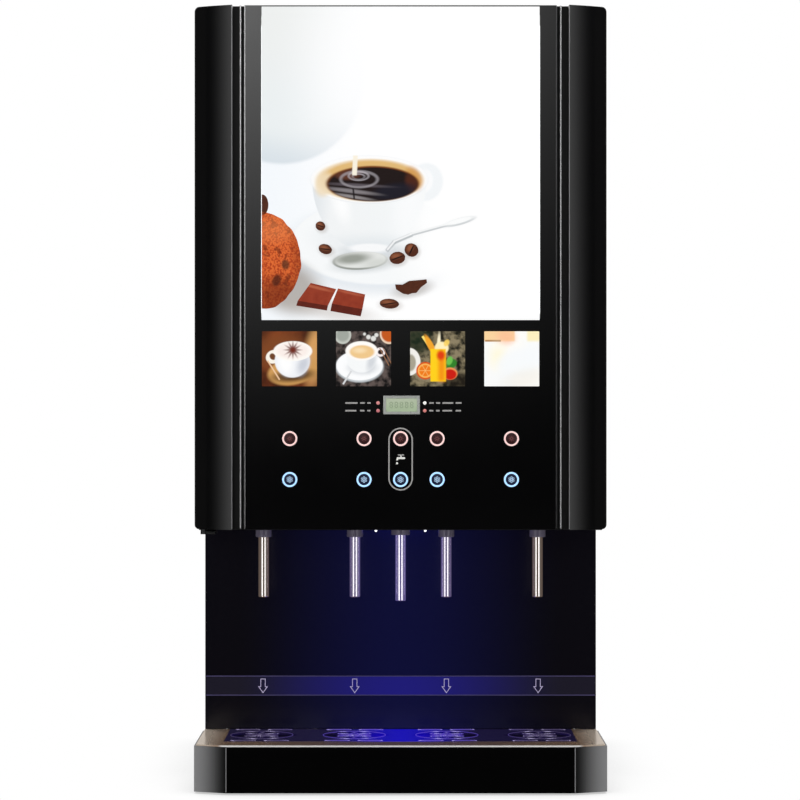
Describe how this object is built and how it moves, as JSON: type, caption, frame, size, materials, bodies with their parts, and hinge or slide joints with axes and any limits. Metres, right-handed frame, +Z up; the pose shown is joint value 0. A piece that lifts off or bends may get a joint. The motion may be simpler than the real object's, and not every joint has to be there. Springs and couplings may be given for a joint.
{
  "type": "hot coffee vending machine",
  "caption": "Table-top hot and cold instant drink vending machine with a lit poster door, push buttons, steel nozzles, a splash panel and a lift-out drip tray.",
  "frame": {"origin": "on the floor, below the middle of the machine's bounding box", "axes": "+Z up, the front and its door face -Y, +X to the right of someone facing the front"},
  "size_m": [0.42, 0.54, 0.8],
  "materials": {
    "black_gloss": "polished black",
    "black_sheet": "fine powder coat",
    "splash_black": "polished dark blue-black",
    "printed_glass": "polished, black ceramic print behind",
    "stainless": "polished stainless",
    "galvanised": "galvanised sheet",
    "poster": "backlit printed acrylic",
    "silver_bezel": "silver paint",
    "clear_plastic": "clear food-grade plastic",
    "white_plastic": "satin",
    "black_plastic": "satin",
    "hot_button": "satin, pinkish white ring",
    "cold_button": "satin, pale blue ring",
    "compressor_black": "gloss enamel",
    "tank_jacket": "foam jacket"
  },
  "bodies": {
    "cabinet": {"floor_pan": "galvanised", "left_side_panel": "black_sheet", "right_side_panel": "black_sheet", "top_cover": "black_sheet", "rear_panel": "black_sheet", "base_housing": "black_gloss", "base_deck": "stainless", "splash_panel": "splash_black", "inner_chassis": "galvanised", "door_hinge": "stainless", "drink_nozzle_1": "stainless", "drink_nozzle_2": "stainless", "drink_nozzle_3": "stainless", "drink_nozzle_4": "stainless", "water_nozzle": "stainless", "mixing_bowl_1": "clear_plastic", "mixing_bowl_2": "clear_plastic", "mixing_bowl_3": "clear_plastic", "mixing_bowl_4": "clear_plastic", "canister_1": "clear_plastic", "canister_2": "clear_plastic", "canister_3": "clear_plastic", "canister_4": "clear_plastic", "hot_water_tank": "tank_jacket", "cold_water_tank": "tank_jacket", "compressor": "compressor_black"},
    "fan": {"fan_rotor": "black_plastic"},
    "tray": {"drip_tray": "black_plastic"},
    "grille": {"drip_grille": "stainless"},
    "auger_1": {"auger_1": "white_plastic"},
    "whisk_1": {"whisk_1": "white_plastic"},
    "lid_1": {"canister_lid_1": "white_plastic"},
    "auger_2": {"auger_2": "white_plastic"},
    "whisk_2": {"whisk_2": "white_plastic"},
    "lid_2": {"canister_lid_2": "white_plastic"},
    "auger_3": {"auger_3": "white_plastic"},
    "whisk_3": {"whisk_3": "white_plastic"},
    "lid_3": {"canister_lid_3": "white_plastic"},
    "auger_4": {"auger_4": "white_plastic"},
    "whisk_4": {"whisk_4": "white_plastic"},
    "lid_4": {"canister_lid_4": "white_plastic"},
    "switch": {"power_switch": "black_plastic"},
    "door": {"door_frame": "black_sheet", "left_pillar": "black_gloss", "right_pillar": "black_gloss", "front_glass": "printed_glass", "poster_panel": "poster", "light_box": "white_plastic", "lcd_display": "silver_bezel"},
    "lock": {"door_lock": "stainless"},
    "button_hot_1": {"button_hot_1": "hot_button"},
    "button_cold_1": {"button_cold_1": "cold_button"},
    "button_hot_2": {"button_hot_2": "hot_button"},
    "button_cold_2": {"button_cold_2": "cold_button"},
    "button_hot_3": {"button_hot_3": "hot_button"},
    "button_cold_3": {"button_cold_3": "cold_button"},
    "button_hot_4": {"button_hot_4": "hot_button"},
    "button_cold_4": {"button_cold_4": "cold_button"},
    "button_hot_water": {"button_hot_water": "hot_button"},
    "button_cold_water": {"button_cold_water": "cold_button"}
  },
  "joints": [
    {"name": "door_swing", "type": "hinge", "parent": "cabinet", "child": "door", "pos_m": [-0.202, -0.228, 0.2685], "axis": [0, 0, -1], "range_deg": [0, 110]},
    {"name": "lock_turn", "type": "hinge", "parent": "door", "child": "lock", "pos_m": [0.2098, -0.233, 0.54], "axis": [1, 0, 0], "range_deg": [0, 90]},
    {"name": "press_hot_1", "type": "slide", "parent": "door", "child": "button_hot_1", "axis": [0, 1, 0], "range_m": [0, 0.001], "stiffness_N_per_m": 400, "springref_m": -0.002},
    {"name": "press_cold_1", "type": "slide", "parent": "door", "child": "button_cold_1", "axis": [0, 1, 0], "range_m": [0, 0.001], "stiffness_N_per_m": 400, "springref_m": -0.002},
    {"name": "press_hot_2", "type": "slide", "parent": "door", "child": "button_hot_2", "axis": [0, 1, 0], "range_m": [0, 0.001], "stiffness_N_per_m": 400, "springref_m": -0.002},
    {"name": "press_cold_2", "type": "slide", "parent": "door", "child": "button_cold_2", "axis": [0, 1, 0], "range_m": [0, 0.001], "stiffness_N_per_m": 400, "springref_m": -0.002},
    {"name": "press_hot_3", "type": "slide", "parent": "door", "child": "button_hot_3", "axis": [0, 1, 0], "range_m": [0, 0.001], "stiffness_N_per_m": 400, "springref_m": -0.002},
    {"name": "press_cold_3", "type": "slide", "parent": "door", "child": "button_cold_3", "axis": [0, 1, 0], "range_m": [0, 0.001], "stiffness_N_per_m": 400, "springref_m": -0.002},
    {"name": "press_hot_4", "type": "slide", "parent": "door", "child": "button_hot_4", "axis": [0, 1, 0], "range_m": [0, 0.001], "stiffness_N_per_m": 400, "springref_m": -0.002},
    {"name": "press_cold_4", "type": "slide", "parent": "door", "child": "button_cold_4", "axis": [0, 1, 0], "range_m": [0, 0.001], "stiffness_N_per_m": 400, "springref_m": -0.002},
    {"name": "press_hot_water", "type": "slide", "parent": "door", "child": "button_hot_water", "axis": [0, 1, 0], "range_m": [0, 0.001], "stiffness_N_per_m": 400, "springref_m": -0.002},
    {"name": "press_cold_water", "type": "slide", "parent": "door", "child": "button_cold_water", "axis": [0, 1, 0], "range_m": [0, 0.001], "stiffness_N_per_m": 400, "springref_m": -0.002},
    {"name": "tray_lift", "type": "slide", "parent": "cabinet", "child": "tray", "axis": [0, 0, 1], "range_m": [0, 0.045]},
    {"name": "grille_lift", "type": "slide", "parent": "tray", "child": "grille", "axis": [0, 0, 1], "range_m": [0, 0.03]},
    {"name": "fan_spin", "type": "hinge", "parent": "cabinet", "child": "fan", "pos_m": [-0.09, 0.246, 0.13], "axis": [0, 1, 0], "continuous": true},
    {"name": "auger_spin_1", "type": "hinge", "parent": "cabinet", "child": "auger_1", "pos_m": [-0.14325, -0.1, 0.477], "axis": [0, 1, 0], "continuous": true},
    {"name": "whisk_spin_1", "type": "hinge", "parent": "cabinet", "child": "whisk_1", "pos_m": [-0.14325, -0.16, 0.332], "axis": [0, 1, 0], "continuous": true},
    {"name": "lid_lift_1", "type": "hinge", "parent": "cabinet", "child": "lid_1", "pos_m": [-0.14325, -0.0125, 0.7015], "axis": [-1, 0, 0], "range_deg": [0, 25]},
    {"name": "auger_spin_2", "type": "hinge", "parent": "cabinet", "child": "auger_2", "pos_m": [-0.04775, -0.1, 0.477], "axis": [0, 1, 0], "continuous": true},
    {"name": "whisk_spin_2", "type": "hinge", "parent": "cabinet", "child": "whisk_2", "pos_m": [-0.04775, -0.16, 0.332], "axis": [0, 1, 0], "continuous": true},
    {"name": "lid_lift_2", "type": "hinge", "parent": "cabinet", "child": "lid_2", "pos_m": [-0.04775, -0.0125, 0.7015], "axis": [-1, 0, 0], "range_deg": [0, 25]},
    {"name": "auger_spin_3", "type": "hinge", "parent": "cabinet", "child": "auger_3", "pos_m": [0.04775, -0.1, 0.477], "axis": [0, 1, 0], "continuous": true},
    {"name": "whisk_spin_3", "type": "hinge", "parent": "cabinet", "child": "whisk_3", "pos_m": [0.04775, -0.16, 0.332], "axis": [0, 1, 0], "continuous": true},
    {"name": "lid_lift_3", "type": "hinge", "parent": "cabinet", "child": "lid_3", "pos_m": [0.04775, -0.0125, 0.7015], "axis": [-1, 0, 0], "range_deg": [0, 25]},
    {"name": "auger_spin_4", "type": "hinge", "parent": "cabinet", "child": "auger_4", "pos_m": [0.14325, -0.1, 0.477], "axis": [0, 1, 0], "continuous": true},
    {"name": "whisk_spin_4", "type": "hinge", "parent": "cabinet", "child": "whisk_4", "pos_m": [0.14325, -0.16, 0.332], "axis": [0, 1, 0], "continuous": true},
    {"name": "lid_lift_4", "type": "hinge", "parent": "cabinet", "child": "lid_4", "pos_m": [0.14325, -0.0125, 0.7015], "axis": [-1, 0, 0], "range_deg": [0, 25]},
    {"name": "switch_rock", "type": "hinge", "parent": "cabinet", "child": "switch", "pos_m": [0.17, 0.264, 0.05], "axis": [1, 0, 0], "range_deg": [0, 20]}
  ]
}
